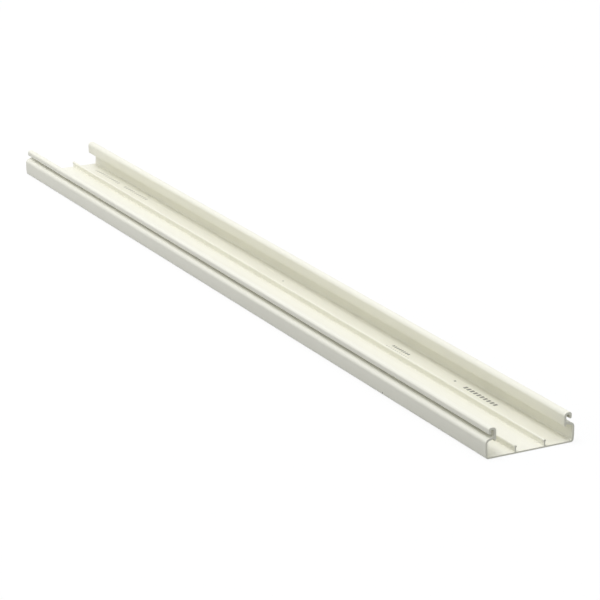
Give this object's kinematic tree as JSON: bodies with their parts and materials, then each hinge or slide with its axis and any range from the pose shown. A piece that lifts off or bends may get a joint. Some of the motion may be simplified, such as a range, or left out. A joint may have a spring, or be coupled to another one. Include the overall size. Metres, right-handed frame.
{
  "type": "cable raceway base",
  "caption": "Extruded vinyl base of a surface cable raceway: a wide open channel with beaded divider ribs on its floor and curled hooks along both walls for a cover that clips over them.",
  "frame": {"origin": "middle of the flat back face, which lies on the floor here and on the wall in use", "axes": "+Y along the extrusion, +X across it, +Z out of the back face towards the open front"},
  "size_m": [0.1334, 1.524, 0.042],
  "materials": {
    "vinyl": "ivory rigid vinyl, satin as it leaves the die, sawn matt at the ends"
  },
  "bodies": {
    "root": {"raceway_base": "vinyl"}
  },
  "joints": []
}
